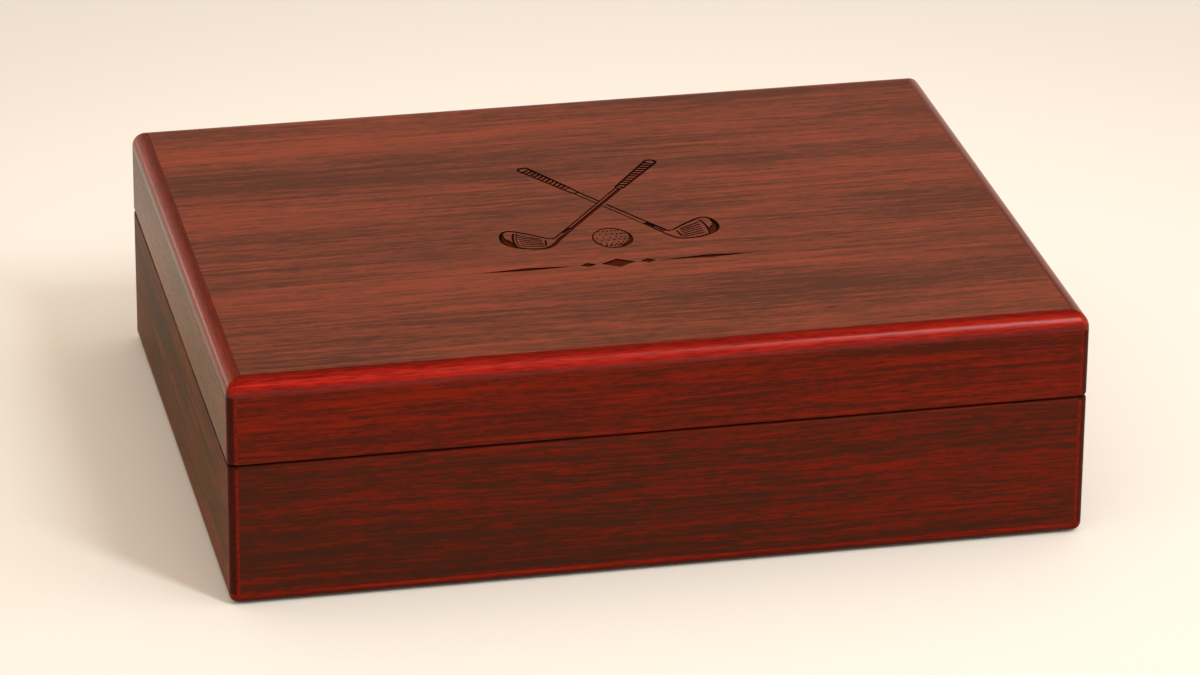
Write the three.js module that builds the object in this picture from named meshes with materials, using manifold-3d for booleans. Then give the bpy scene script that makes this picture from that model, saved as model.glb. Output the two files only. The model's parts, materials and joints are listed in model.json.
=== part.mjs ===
// A hinged wooden box for a dozen golf balls.
//
// Both halves are frames of mitred, veneered walls. Narrow strips of plain red wood are let into every
// outer edge and rounded over. A stepped panel closes each half, the floor of the base and the top of
// the lid. Two brass stop hinges join the halves at the back and hold the open lid just past upright.
// Inside, the walls are lined with velvet, a foam insert holds the balls and a pad lines the lid.
//
// Millimetres, +Z up. The origin is on the underside of the felt, below the middle of the box.
// The front faces -Y and the hinges are at +Y.

import * as THREE from "three";
import { mergeVertices } from "three/addons/utils/BufferGeometryUtils.js";
import Module from "manifold-3d";

const wasm = await Module();
wasm.setup();

// Overall sizes
const boxWidth = 229;
const boxDepth = 178;
const boxHeight = 63.5;
const baseRimHeight = 39.5;
const rimGap = 0.5;

// Walls and panels
const wallThickness = 10;
const floorThickness = 5.3;
const topThickness = 8;
const feltThickness = 0.5;
const feltInset = 2.4;

// Strips of red wood on the edges, and the radii that they are rounded to
const cornerStripWidth = 2.6;
const footStripWidth = 3;
const footStripHeight = 2.8;
const topStripWidth = 4.4;
const topStripHeight = 4.6;
const cornerRadius = 2.5;
const footRadius = 2.2;
const topRadius = 4.4;
const baseRimRadius = 0.8;
const lidRimRadius = 0.6;
const leastCornerRadius = 0.6;

// Velvet linings and the pad in the lid
const liningThickness = 1.2;
const liningSetback = 1.5;
const softClearance = 0.3;
const lidPadThickness = 3;
const lidPadRadius = 1.2;
const lidPadCornerRadius = 2;

// Foam insert and the pad under it
const ballDiameter = 42.7;
const pocketClearance = 1.5;
const pocketChamfer = 1.2;
const leastPocketWall = 3;
const floorPadThickness = 2;
const insertHeight = 22;

// Hinges
const hingeInset = 44;
const hingeLength = 32;
const leafThickness = 1.6;
const leafSeat = 8;
const pinStandoff = 2.1;
const pinRadius = 0.9;
const pinClearance = 0.1;
const pinHeadLength = 0.6;
const pinHeadRadius = 1.4;
const knuckleClearance = 0.25;
const knuckleGap = 0.2;
const lidKnuckleShare = 0.42;
const mortiseClearance = 0.2;

// Hinge screws
const screwLength = 8;
const screwRadius = 0.9;
const screwHeadRadius = 1.7;
const screwHeadDepth = 0.9;
const screwPointLength = 1.8;
const screwClearance = 0.12;
const screwSlotWidth = 0.45;
const screwSlotDepth = 0.4;
const screwSpacingShare = 0.6;

// Steps of the curves
const edgeSteps = 7;
const cornerSteps = 4;
const pocketSteps = 36;
const smallSteps = 20;

// How far a cutter runs past the wood that it cuts
const overrun = 1;

// Levels and half sizes that follow from the sizes above
const halfWidth = boxWidth / 2;
const halfDepth = boxDepth / 2;
const innerHalfWidth = halfWidth - wallThickness;
const innerHalfDepth = halfDepth - wallThickness;
const woodBottom = feltThickness;
const footTop = woodBottom + footStripHeight;
const floorTop = woodBottom + floorThickness;
const lidRimHeight = baseRimHeight + rimGap;
const lidWallTop = boxHeight - topStripHeight;
const ceiling = boxHeight - topThickness;
const softHalfWidth = innerHalfWidth - liningThickness - softClearance;
const softHalfDepth = innerHalfDepth - liningThickness - softClearance;
const knuckleRadius = leafThickness + rimGap / 2;
const leafNotch = knuckleRadius + knuckleClearance;
const pinY = halfDepth + pinStandoff;
const pinZ = baseRimHeight + rimGap / 2;

const finish = (name, color, roughness, metalness = 0) =>
  Object.assign(new THREE.MeshStandardMaterial({ color, roughness, metalness }), { name });

const veneer = finish("rosewood_veneer", 0x5a2017, 0.35);
const redWood = finish("red_edge_wood", 0x8c1a12, 0.3);
const velvet = finish("velvet_lining", 0x14110f, 0.95);
const foam = finish("flocked_foam", 0x171412, 0.95);
const felt = finish("underside_felt", 0x2a2320, 1);
const brass = finish("brass", 0xc79a45, 0.3, 1);

// A closed mesh as a solid that can be cut and joined.
function solid(geometry) {
  const bare = geometry.clone();
  bare.deleteAttribute("normal");
  bare.deleteAttribute("uv");
  const merged = mergeVertices(bare);
  return new wasm.Manifold(
    new wasm.Mesh({
      numProp: 3,
      vertProperties: merged.attributes.position.array,
      triVerts: new Uint32Array(merged.index.array),
    }),
  );
}

// A solid as a named mesh.
function piece(name, shape, material) {
  const { numProp, numVert, vertProperties, triVerts } = shape.getMesh();
  const points = new Float32Array(numVert * 3);
  for (let i = 0; i < numVert; i++) {
    points.set(vertProperties.subarray(i * numProp, i * numProp + 3), i * 3);
  }
  const indexed = new THREE.BufferGeometry()
    .setAttribute("position", new THREE.BufferAttribute(points, 3))
    .setIndex(new THREE.BufferAttribute(triVerts, 1));
  const flat = indexed.toNonIndexed();
  flat.computeVertexNormals();
  const mesh = new THREE.Mesh(flat, material);
  mesh.name = name;
  return mesh;
}

// A straight-sided block over an outline in plan, from one level up to another.
function prism(outline, low, high) {
  const shape = new THREE.Shape(outline.map(([x, y]) => new THREE.Vector2(x, y)));
  const block = new THREE.ExtrudeGeometry(shape, { depth: high - low, bevelEnabled: false });
  return solid(block.translate(0, 0, low));
}

// A plain block between two corners.
function block([x0, y0, z0], [x1, y1, z1]) {
  return prism([[x0, y0], [x1, y0], [x1, y1], [x0, y1]], z0, z1);
}

// A block centred on the origin in plan, whose vertical, lower and upper edges are rounded.
// Its outline steps in as each edge turns over, as a router leaves it.
function roundedBlock({ width, depth, low, high, corner, lowRadius, highRadius }) {
  const levels = [];
  const quarter = Math.PI / 2;
  for (let i = 0; i <= edgeSteps; i++) {
    const turn = (quarter * i) / edgeSteps;
    levels.push([low + lowRadius * (1 - Math.cos(turn)), lowRadius * (1 - Math.sin(turn))]);
  }
  for (let i = 0; i <= edgeSteps; i++) {
    const turn = (quarter * i) / edgeSteps;
    levels.push([high - highRadius * (1 - Math.sin(turn)), highRadius * (1 - Math.cos(turn))]);
  }
  const outlinePoints = 4 * (cornerSteps + 1);
  const points = [];
  for (const [z, inset] of levels) {
    const radius = Math.max(corner - inset, leastCornerRadius);
    for (let side = 0; side < 4; side++) {
      const right = side === 0 || side === 3 ? 1 : -1;
      const back = side < 2 ? 1 : -1;
      for (let i = 0; i <= cornerSteps; i++) {
        const angle = quarter * (side + i / cornerSteps);
        points.push(
          right * (width / 2 - inset - radius) + radius * Math.cos(angle),
          back * (depth / 2 - inset - radius) + radius * Math.sin(angle),
          z,
        );
      }
    }
  }
  const faces = [];
  for (let level = 0; level < levels.length - 1; level++) {
    for (let i = 0; i < outlinePoints; i++) {
      const next = (i + 1) % outlinePoints;
      const a = level * outlinePoints + i;
      const b = level * outlinePoints + next;
      faces.push(a, b, b + outlinePoints, a, b + outlinePoints, a + outlinePoints);
    }
  }
  const last = (levels.length - 1) * outlinePoints;
  for (let i = 1; i < outlinePoints - 1; i++) {
    faces.push(0, i + 1, i, last, last + i, last + i + 1);
  }
  const geometry = new THREE.BufferGeometry()
    .setAttribute("position", new THREE.Float32BufferAttribute(points, 3))
    .setIndex(faces);
  return solid(geometry);
}

// An upright turned shape about the Z axis, from a profile of [radius, height] that starts and ends on it.
function turned(profile, steps) {
  const points = profile.map(([radius, height]) => new THREE.Vector2(radius, height));
  return solid(new THREE.LatheGeometry(points, steps).rotateX(Math.PI / 2));
}

// A rod or a bore along X, centred on a point.
function rodAlongX(radius, length, [x, y, z]) {
  const rod = new THREE.CylinderGeometry(radius, radius, length, smallSteps);
  return solid(rod.rotateZ(Math.PI / 2).translate(x, y, z));
}

// A solid with every cutter taken out of it.
function without(shape, cutters) {
  return cutters.reduce((rest, cutter) => rest.subtract(cutter), shape);
}

// The four sides of a frame: the name of the side, and its outline in plan turned to face that way.
// The outline is drawn for the front, as a function of the half length along X and the half depth in Y.
function sidesOf(outlineForFront) {
  const front = outlineForFront(halfWidth, halfDepth);
  const left = outlineForFront(halfDepth, halfWidth);
  return [
    ["front", front],
    ["back", front.map(([x, y]) => [-x, -y])],
    ["left", left.map(([x, y]) => [y, -x])],
    ["right", left.map(([x, y]) => [-y, x])],
  ];
}

const cornersOf = [
  ["front_left", -1, -1],
  ["front_right", 1, -1],
  ["back_left", -1, 1],
  ["back_right", 1, 1],
];

// The outside of each half, rounded at every edge that the hand meets.
const baseForm = roundedBlock({
  width: boxWidth,
  depth: boxDepth,
  low: woodBottom,
  high: baseRimHeight,
  corner: cornerRadius,
  lowRadius: footRadius,
  highRadius: baseRimRadius,
});
const lidForm = roundedBlock({
  width: boxWidth,
  depth: boxDepth,
  low: lidRimHeight,
  high: boxHeight,
  corner: cornerRadius,
  lowRadius: lidRimRadius,
  highRadius: topRadius,
});

// One wall: mitred at its ends, and rebated there for the corner strips.
const wallOutline = (halfLength, half) => [
  [-halfLength + cornerStripWidth, -half],
  [halfLength - cornerStripWidth, -half],
  [halfLength - cornerStripWidth, -half + cornerStripWidth],
  [halfLength - wallThickness, -half + wallThickness],
  [-halfLength + wallThickness, -half + wallThickness],
  [-halfLength + cornerStripWidth, -half + cornerStripWidth],
];

// One edge strip: as long as the side, mitred across its own width.
const stripOutline = (width) => (halfLength, half) => [
  [-halfLength, -half],
  [halfLength, -half],
  [halfLength - width, -half + width],
  [-halfLength + width, -half + width],
];

// The four walls of one half, with what the hinges need cut out of the back one.
function walls(half, form, low, high, hingeCutters) {
  return sidesOf(wallOutline).map(([side, outline]) => {
    const wall = form.intersect(prism(outline, low, high));
    const cutters = side === "back" ? hingeCutters : [];
    return piece(`${half}_${side}_wall`, without(wall, cutters), veneer);
  });
}

// The four mitred strips round the foot of the base or the top of the lid.
function edgeStrips(name, form, width, low, high) {
  return sidesOf(stripOutline(width)).map(([side, outline]) =>
    piece(name(side), form.intersect(prism(outline, low, high)), redWood),
  );
}

// The four upright strips in the corners of one half.
function cornerStrips(half, form, low, high) {
  return cornersOf.map(([corner, right, back]) => {
    const outer = [right * halfWidth, back * halfDepth];
    const inner = [right * (halfWidth - cornerStripWidth), back * (halfDepth - cornerStripWidth)];
    const low3 = [Math.min(outer[0], inner[0]), Math.min(outer[1], inner[1]), low];
    const high3 = [Math.max(outer[0], inner[0]), Math.max(outer[1], inner[1]), high];
    return piece(`${half}_corner_strip_${corner}`, form.intersect(block(low3, high3)), redWood);
  });
}

// A panel with a step round its edge: the wide part covers the walls between the edge strips, and the
// narrow part fits between the walls.
function steppedPanel(form, stripWidth, [wideLow, wideHigh], [narrowLow, narrowHigh]) {
  const reachX = halfWidth - stripWidth;
  const reachY = halfDepth - stripWidth;
  const wide = block([-reachX, -reachY, wideLow], [reachX, reachY, wideHigh]);
  const narrow = block(
    [-innerHalfWidth, -innerHalfDepth, narrowLow],
    [innerHalfWidth, innerHalfDepth, narrowHigh],
  );
  return form.intersect(wide.add(narrow));
}

// The velvet-covered boards on the inner faces of one half's walls.
function linings(half, low, high) {
  const x = innerHalfWidth;
  const y = innerHalfDepth;
  const t = liningThickness;
  return [
    piece(`${half}_lining_front`, block([-x, -y, low], [x, -y + t, high]), velvet),
    piece(`${half}_lining_back`, block([-x, y - t, low], [x, y, high]), velvet),
    piece(`${half}_lining_left`, block([-x, -y + t, low], [-x + t, y - t, high]), velvet),
    piece(`${half}_lining_right`, block([x - t, -y + t, low], [x, y - t, high]), velvet),
  ];
}

// A stop hinge is built here about its own pin, which lies on X, for a lid that opens towards +Y.
// Half is 1 for the lid's leaf, above the pin, and -1 for the base's leaf, below it.
const lidKnuckleHalf = (hingeLength * lidKnuckleShare) / 2;
const leafEnd = pinStandoff + leafSeat;
const leafInner = rimGap / 2;
const leafOuter = rimGap / 2 + leafThickness;
const screwY = -(pinStandoff + leafSeat / 2);
const screwX = (hingeLength * screwSpacingShare) / 2;

// The stretches of X that the knuckles of each leaf fill.
const knuckleSpans = {
  lid: [[-lidKnuckleHalf + knuckleGap / 2, lidKnuckleHalf - knuckleGap / 2]],
  base: [
    [-hingeLength / 2, -lidKnuckleHalf - knuckleGap / 2],
    [lidKnuckleHalf + knuckleGap / 2, hingeLength / 2],
  ],
};

// A knuckle with a square heel behind the pin. The heel of each leaf meets the end of the other
// leaf's notch when the lid is open, and stops it just past upright.
function knuckle([from, to], heelSide) {
  const outline = new THREE.Shape();
  outline.moveTo(knuckleRadius, 0);
  outline.lineTo(knuckleRadius, heelSide * knuckleRadius);
  outline.lineTo(0, heelSide * knuckleRadius);
  outline.absarc(0, 0, knuckleRadius, (heelSide * Math.PI) / 2, heelSide * 2 * Math.PI, heelSide < 0);
  const bar = new THREE.ExtrudeGeometry(outline, {
    depth: to - from,
    bevelEnabled: false,
    curveSegments: smallSteps,
  });
  const shapeToSide = new THREE.Matrix4().makeBasis(
    new THREE.Vector3(0, 1, 0),
    new THREE.Vector3(0, 0, 1),
    new THREE.Vector3(1, 0, 0),
  );
  return solid(bar.applyMatrix4(shapeToSide).translate(from, 0, 0));
}

// The hole for one screw through a leaf: the countersink opens at the face of the rim.
function screwHole(x, half) {
  const face = half * leafInner;
  const reach = (depth) => face + half * depth;
  const bore = turned(
    ordered([
      [0, reach(-overrun)],
      [screwHeadRadius + screwClearance, reach(-overrun)],
      [screwHeadRadius + screwClearance, face],
      [screwRadius + screwClearance, reach(screwHeadDepth)],
      [screwRadius + screwClearance, reach(leafThickness + overrun)],
      [0, reach(leafThickness + overrun)],
    ]),
    smallSteps,
  );
  return bore.translate([x, screwY, 0]);
}

// A profile about the Z axis is drawn upwards, so that its faces point out.
function ordered(profile) {
  return profile[0][1] < profile[profile.length - 1][1] ? profile : [...profile].reverse();
}

function hingeLeaf(half) {
  const own = half > 0 ? "lid" : "base";
  const other = half > 0 ? "base" : "lid";
  const level = [half * leafInner, half * leafOuter].sort((a, b) => a - b);
  let leaf = block([-hingeLength / 2, -leafEnd, level[0]], [hingeLength / 2, 0, level[1]]);
  for (const [from, to] of knuckleSpans[other]) {
    const x0 = from - knuckleGap;
    const x1 = to + knuckleGap;
    leaf = leaf.subtract(block([x0, -leafNotch, -leafOuter], [x1, overrun, leafOuter]));
  }
  for (const span of knuckleSpans[own]) {
    leaf = leaf.add(knuckle(span, -half));
  }
  const bore = rodAlongX(pinRadius + pinClearance, hingeLength + overrun, [0, 0, 0]);
  const holes = [-screwX, screwX].map((x) => screwHole(x, half));
  return without(leaf, [bore, ...holes]);
}

function hingePin() {
  const shank = rodAlongX(pinRadius, hingeLength + 2 * pinClearance, [0, 0, 0]);
  const headAt = hingeLength / 2 + pinClearance + pinHeadLength / 2;
  return [-headAt, headAt].reduce(
    (pin, x) => pin.add(rodAlongX(pinHeadRadius, pinHeadLength, [x, 0, 0])),
    shank,
  );
}

// A countersunk screw, with its head's face at zero and its point straight down.
function screw() {
  const body = turned(
    [
      [0, -screwLength],
      [screwRadius, -screwLength + screwPointLength],
      [screwRadius, -screwHeadDepth],
      [screwHeadRadius, 0],
      [0, 0],
    ],
    smallSteps,
  );
  const slotReach = screwHeadRadius + overrun;
  const slot = block(
    [-slotReach, -screwSlotWidth / 2, -screwSlotDepth],
    [slotReach, screwSlotWidth / 2, overrun],
  );
  return body.subtract(slot);
}

// What the hinges need cut out of one back wall: a mortise for the leaf, and holes for its screws.
function hingeCuts(hingeX, half) {
  const rim = pinZ + half * leafInner;
  const floorOf = pinZ + half * leafOuter;
  const level = [rim - half * overrun, floorOf].sort((a, b) => a - b);
  const reach = hingeLength / 2 + mortiseClearance;
  const mortise = block(
    [hingeX - reach, pinY - leafEnd - mortiseClearance, level[0]],
    [hingeX + reach, pinY + overrun, level[1]],
  );
  const pilotRadius = screwRadius + screwClearance;
  const pilotEnd = rim + half * (screwLength + screwClearance);
  const pilots = [-screwX, screwX].map((x) =>
    turned(ordered([[0, rim], [pilotRadius, rim], [pilotRadius, pilotEnd], [0, pilotEnd]]), smallSteps)
      .translate([hingeX + x, pinY + screwY, 0]),
  );
  return [mortise, ...pilots];
}

const hingePlaces = [
  ["left", -halfWidth + hingeInset],
  ["right", halfWidth - hingeInset],
];

function cutsForAllHinges(half) {
  return hingePlaces.flatMap(([, x]) => hingeCuts(x, half));
}

// The foam insert: one block with a round pocket for each ball, its mouth eased. It has as many rows
// and columns of pockets as leave enough foam between their mouths.
function insert() {
  const low = floorTop + floorPadThickness;
  const high = low + insertHeight;
  const pocketRadius = (ballDiameter + pocketClearance) / 2;
  const leastCell = 2 * (pocketRadius + pocketChamfer) + leastPocketWall;
  const columns = Math.max(1, Math.floor((2 * softHalfWidth) / leastCell));
  const rows = Math.max(1, Math.floor((2 * softHalfDepth) / leastCell));
  const cellWidth = (2 * softHalfWidth) / columns;
  const cellDepth = (2 * softHalfDepth) / rows;
  const pocket = turned(
    [
      [0, low - overrun],
      [pocketRadius, low - overrun],
      [pocketRadius, high - pocketChamfer],
      [pocketRadius + pocketChamfer, high],
      [pocketRadius + pocketChamfer, high + overrun],
      [0, high + overrun],
    ],
    pocketSteps,
  );
  let shape = block([-softHalfWidth, -softHalfDepth, low], [softHalfWidth, softHalfDepth, high]);
  for (let column = 0; column < columns; column++) {
    for (let row = 0; row < rows; row++) {
      const x = cellWidth * (column + 0.5) - softHalfWidth;
      const y = cellDepth * (row + 0.5) - softHalfDepth;
      shape = shape.subtract(pocket.translate([x, y, 0]));
    }
  }
  return shape;
}

// The base, with everything that stays on the table when the lid is lifted.
const base = new THREE.Group();
base.name = "base";
base.add(
  ...walls("base", baseForm, footTop, baseRimHeight, cutsForAllHinges(-1)),
  piece(
    "base_floor_panel",
    steppedPanel(baseForm, footStripWidth, [woodBottom, footTop], [footTop, floorTop]),
    veneer,
  ),
  ...edgeStrips((side) => `base_foot_strip_${side}`, baseForm, footStripWidth, woodBottom, footTop),
  ...cornerStrips("base", baseForm, footTop, baseRimHeight),
  piece(
    "base_felt",
    block(
      [-halfWidth + feltInset, -halfDepth + feltInset, 0],
      [halfWidth - feltInset, halfDepth - feltInset, feltThickness],
    ),
    felt,
  ),
  ...linings("base", floorTop, baseRimHeight - liningSetback),
  piece(
    "insert_floor_pad",
    block(
      [-softHalfWidth, -softHalfDepth, floorTop],
      [softHalfWidth, softHalfDepth, floorTop + floorPadThickness],
    ),
    velvet,
  ),
  piece("ball_insert", insert(), foam),
);

// The lid, with everything that turns about the hinge pins.
const lid = new THREE.Group();
lid.name = "lid";
lid.add(
  ...walls("lid", lidForm, lidRimHeight, lidWallTop, cutsForAllHinges(1)),
  piece(
    "lid_top_panel",
    steppedPanel(lidForm, topStripWidth, [lidWallTop, boxHeight], [ceiling, lidWallTop]),
    veneer,
  ),
  ...edgeStrips((side) => `lid_edge_strip_${side}`, lidForm, topStripWidth, lidWallTop, boxHeight),
  ...cornerStrips("lid", lidForm, lidRimHeight, lidWallTop),
  ...linings("lid", lidRimHeight + liningSetback, ceiling),
  piece(
    "lid_lining_pad",
    roundedBlock({
      width: 2 * softHalfWidth,
      depth: 2 * softHalfDepth,
      low: ceiling - lidPadThickness,
      high: ceiling,
      corner: lidPadCornerRadius,
      lowRadius: lidPadRadius,
      highRadius: lidPadRadius,
    }),
    velvet,
  ),
);

// The hinges: each leaf is let into its rim and held by two screws, and the pin stays with the base.
for (const [side, hingeX] of hingePlaces) {
  for (const [half, group, word] of [[-1, base, "base"], [1, lid, "lid"]]) {
    const leaf = piece(`hinge_${side}_${word}_leaf`, hingeLeaf(half), brass);
    leaf.position.set(hingeX, pinY, pinZ);
    group.add(leaf);
    for (const [place, x] of [["left", -screwX], ["right", screwX]]) {
      const held = piece(`hinge_${side}_${word}_screw_${place}`, screw(), brass);
      held.position.set(hingeX + x, pinY + screwY, pinZ + half * leafInner);
      held.rotation.x = half > 0 ? Math.PI : 0;
      group.add(held);
    }
  }
  const pin = piece(`hinge_${side}_pin`, hingePin(), brass);
  pin.position.set(hingeX, pinY, pinZ);
  base.add(pin);
}

const golfBallBox = new THREE.Group();
golfBallBox.name = "golf_ball_box";
golfBallBox.add(base, lid);

export default golfBallBox;
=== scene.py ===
"""A hinged golf ball box in rosewood veneer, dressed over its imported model. Metres, +Z up, front at -Y."""

import json
from math import ceil, cos, hypot, pi, radians, sin, tau
from random import Random

import bmesh
import bpy
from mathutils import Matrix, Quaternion, Vector
from mathutils.geometry import delaunay_2d_cdt

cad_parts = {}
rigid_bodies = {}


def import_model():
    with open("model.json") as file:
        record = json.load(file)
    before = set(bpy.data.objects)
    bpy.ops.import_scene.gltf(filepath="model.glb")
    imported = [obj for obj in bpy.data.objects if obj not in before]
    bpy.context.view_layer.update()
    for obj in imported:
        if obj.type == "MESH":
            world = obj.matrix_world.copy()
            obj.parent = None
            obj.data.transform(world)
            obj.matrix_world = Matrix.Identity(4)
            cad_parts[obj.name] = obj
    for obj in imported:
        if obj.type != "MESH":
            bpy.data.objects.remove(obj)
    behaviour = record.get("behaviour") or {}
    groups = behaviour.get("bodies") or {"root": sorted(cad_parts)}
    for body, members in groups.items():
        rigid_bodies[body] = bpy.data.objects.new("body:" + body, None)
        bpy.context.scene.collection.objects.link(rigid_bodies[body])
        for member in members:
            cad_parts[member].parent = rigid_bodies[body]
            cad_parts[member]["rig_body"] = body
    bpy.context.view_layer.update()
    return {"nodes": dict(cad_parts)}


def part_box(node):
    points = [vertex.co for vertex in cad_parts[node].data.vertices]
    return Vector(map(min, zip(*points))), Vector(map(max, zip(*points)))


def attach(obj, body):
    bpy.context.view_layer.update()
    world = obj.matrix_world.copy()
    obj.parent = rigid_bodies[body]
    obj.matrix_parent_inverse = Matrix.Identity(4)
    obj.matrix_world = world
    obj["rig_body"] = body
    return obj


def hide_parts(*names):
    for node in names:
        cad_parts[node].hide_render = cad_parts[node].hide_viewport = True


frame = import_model()
mm = 0.001


# Camera
# The picture looks at the box from in front, a little from the left and from above.
# A long lens stands back from it, so its sides hardly draw together.
aim = Vector((1.9 * mm, 0, 27.9 * mm))
azimuth = radians(-12.18)
elevation = radians(23.77)
roll = radians(0.43)
camera_distance = 1.6036


def put(data):
    """Puts an object with this mesh, camera or lamp in the scene, under the same name."""
    made = bpy.data.objects.new(data.name, data)
    bpy.context.scene.collection.objects.link(made)
    return made


camera_data = bpy.data.cameras.new("camera")
camera_data.lens = 175.4
camera = put(camera_data)
backwards = Vector((
    sin(azimuth) * cos(elevation),
    -cos(azimuth) * cos(elevation),
    sin(elevation),
))
camera.location = aim + backwards * camera_distance
camera.rotation_mode = "QUATERNION"
camera.rotation_quaternion = (-backwards).to_track_quat("-Z", "Y") @ Quaternion((0, 0, 1), roll)
bpy.context.scene.camera = camera


# Veneered walls
# Each half has four walls of board under rosewood veneer, mitred and glued at the corners.
# The grain runs level all round, and the outer edges of the rims are rounded by a router.
class Wire:
    """One socket in a tree of nodes. Sums on it add Math nodes, and node() adds any other node."""

    def __init__(self, tree, socket=None):
        self.tree = tree
        self.socket = socket

    def node(self, kind, settings=None, inputs=None, output=0):
        made = self.tree.nodes.new(kind)
        for name, value in (settings or {}).items():
            if name == "stops":
                ramp = made.color_ramp
                ramp.elements.remove(ramp.elements[0])
                ramp.elements[0].position, ramp.elements[0].color = value[0]
                for place, color in value[1:]:
                    ramp.elements.new(place).color = color
            else:
                setattr(made, name, value)
        for name, value in (inputs or {}).items():
            if isinstance(value, Wire):
                self.tree.links.new(value.socket, made.inputs[name])
            else:
                made.inputs[name].default_value = value
        return Wire(self.tree, made.outputs[output])

    def math(self, operation, *values):
        return self.node("ShaderNodeMath", {"operation": operation}, dict(enumerate(values)))

    def __add__(self, other):
        return self.math("ADD", self, other)

    def __sub__(self, other):
        return self.math("SUBTRACT", self, other)

    def __rsub__(self, other):
        return self.math("SUBTRACT", other, self)

    def __mul__(self, other):
        return self.math("MULTIPLY", self, other)

    __radd__ = __add__
    __rmul__ = __mul__

    def between(self, low, high):
        """How far this value has gone from low to high, from 0 to 1."""
        settings = {"interpolation_type": "SMOOTHSTEP"}
        return self.node("ShaderNodeMapRange", settings, {"Value": self, "From Min": low, "From Max": high})

    def mixed(self, first, second):
        """The first colour where this value is 0, and the second where it is 1."""
        return self.node("ShaderNodeMix", {"data_type": "RGBA"}, {0: self, 6: first, 7: second}, 2)

    def ramp(self, places, colors):
        """The colour that this value reaches among colours that stand at these places."""
        return self.node("ShaderNodeValToRGB", {"stops": list(zip(places, colors))}, {0: self})

    def noise(self, place, size, detail=2.0, roughness=0.5):
        """Soft noise whose lumps are this size along X, Y and Z, in metres."""
        scaled = self.node("ShaderNodeVectorMath", {"operation": "DIVIDE"}, {0: place, 1: size})
        return self.node("ShaderNodeTexNoise", None, {
            "Vector": scaled,
            "Scale": 1.0,
            "Detail": detail,
            "Roughness": roughness,
        })

    def bump(self, height, strength, distance):
        return self.node("ShaderNodeBump", None, {
            "Height": height,
            "Strength": strength,
            "Distance": distance,
        })


def material(name, **constants):
    """A material, its shader and a wire in it. The constants are set on the shader's own sockets."""
    made = bpy.data.materials.new(name)
    made.use_nodes = True
    shader = made.node_tree.nodes["Principled BSDF"]
    for socket, value in constants.items():
        shader.inputs[socket.replace("_", " ")].default_value = value
    return made, shader, Wire(made.node_tree)


def plug(shader, **wires):
    """Links wires to the shader's sockets."""
    for socket, wire in wires.items():
        wire.tree.links.new(wire.socket, shader.inputs[socket.replace("_", " ")])


def moved_place(wire, shift=(0.0, 0.0, 0.0)):
    """Object coordinates, moved so that each face shows its own part of the pattern."""
    place = wire.node("ShaderNodeTexCoord", None, None, "Object")
    return wire.node("ShaderNodeVectorMath", {"operation": "ADD"}, {0: place, 1: shift})


def grained(along, across, grain):
    """The size of a streak as X, Y and Z, for grain that runs along X or along Y."""
    return (along, across, across) if grain == "X" else (across, along, across)


lid_tones = (
    (0.0600, 0.0084, 0.0032, 1),
    (0.0960, 0.0090, 0.0028, 1),
    (0.1390, 0.0095, 0.0021, 1),
    (0.1920, 0.0104, 0.0016, 1),
)
base_tones = (
    (0.0420, 0.0104, 0.0046, 1),
    (0.0630, 0.0102, 0.0039, 1),
    (0.0960, 0.0096, 0.0030, 1),
    (0.1540, 0.0088, 0.0018, 1),
)
# The end walls' browner cast stands partly for the table's reflection on them: painted reflection.
lid_end_tones_and_reflection = (
    (0.055, 0.0105, 0.0040, 1),
    (0.095, 0.0150, 0.0045, 1),
    (0.140, 0.0210, 0.0050, 1),
    (0.210, 0.0300, 0.0065, 1),
)
base_end_tones_and_reflection = (
    (0.034, 0.0080, 0.0030, 1),
    (0.070, 0.0120, 0.0040, 1),
    (0.120, 0.0180, 0.0050, 1),
    (0.190, 0.0260, 0.0065, 1),
)
fleck_tone = (0.030, 0.0085, 0.0040, 1)
bloom_tint = (0.80, 1.0, 0.35, 1)

# The figure of the wood: how long and how wide each kind of mark is, how fine and how rough its
# noise, and its share of the tone.
figure = {
    "bands": (190 * mm, 15 * mm, 2.0, 0.5, 0.20),
    "streaks": (34 * mm, 1.9 * mm, 3.0, 0.65, 0.19),
    "lines": (120 * mm, 0.9 * mm, 2.0, 0.6, 0.20),
    "fibres": (9 * mm, 0.75 * mm, 3.0, 0.7, 0.22),
    "flecks": (3.6 * mm, 0.6 * mm, 2.0, 0.6, 0.19),
}
tone_stops = (0.450, 0.492, 0.526, 0.578)
fleck_range = (0.56, 0.74)
pore_range = (0.62, 0.72)
pore_length, pore_width = 3.2 * mm, 0.2 * mm
drift_length, drift_width = 75 * mm, 24 * mm
drift_reach = 3 * mm


def veneer(name, grain, shift, tones, fleck_depth=0.5, gloss=0.055, haze=0.32, bloom=0.0):
    """A sheet of veneer. Its tones run from its dark streaks to its bright ones. Wax blooms on it
    where it is seen at a low angle."""
    made, shader, wire = material(
        name,
        Specular_IOR_Level=gloss,
        Sheen_Weight=bloom,
        Sheen_Roughness=0.3,
        Sheen_Tint=bloom_tint,
    )
    place = moved_place(wire, shift)
    drift = wire.noise(place, grained(drift_length, drift_width, grain), 1.0)
    bent = wire.node(
        "ShaderNodeVectorMath",
        {"operation": "MULTIPLY_ADD"},
        {0: drift, 1: grained(0.0, drift_reach, grain), 2: place},
    )
    layers = {}
    tone = 0.0
    for mark, (length, width, detail, roughness, share) in figure.items():
        layers[mark] = wire.noise(bent, grained(length, width, grain), detail, roughness)
        tone = tone + layers[mark] * share
    pores = wire.noise(bent, grained(pore_length, pore_width, grain), 1.0)
    flecks = layers["flecks"].between(*fleck_range)
    relief = layers["fibres"] - pores.between(*pore_range) * 0.6
    plug(
        shader,
        Base_Color=(flecks * fleck_depth).mixed(tone.ramp(tone_stops, tones), fleck_tone),
        Roughness=haze + layers["fibres"] * 0.12,
        Normal=wire.bump(relief, strength=0.25, distance=0.06 * mm),
    )
    return made


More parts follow.
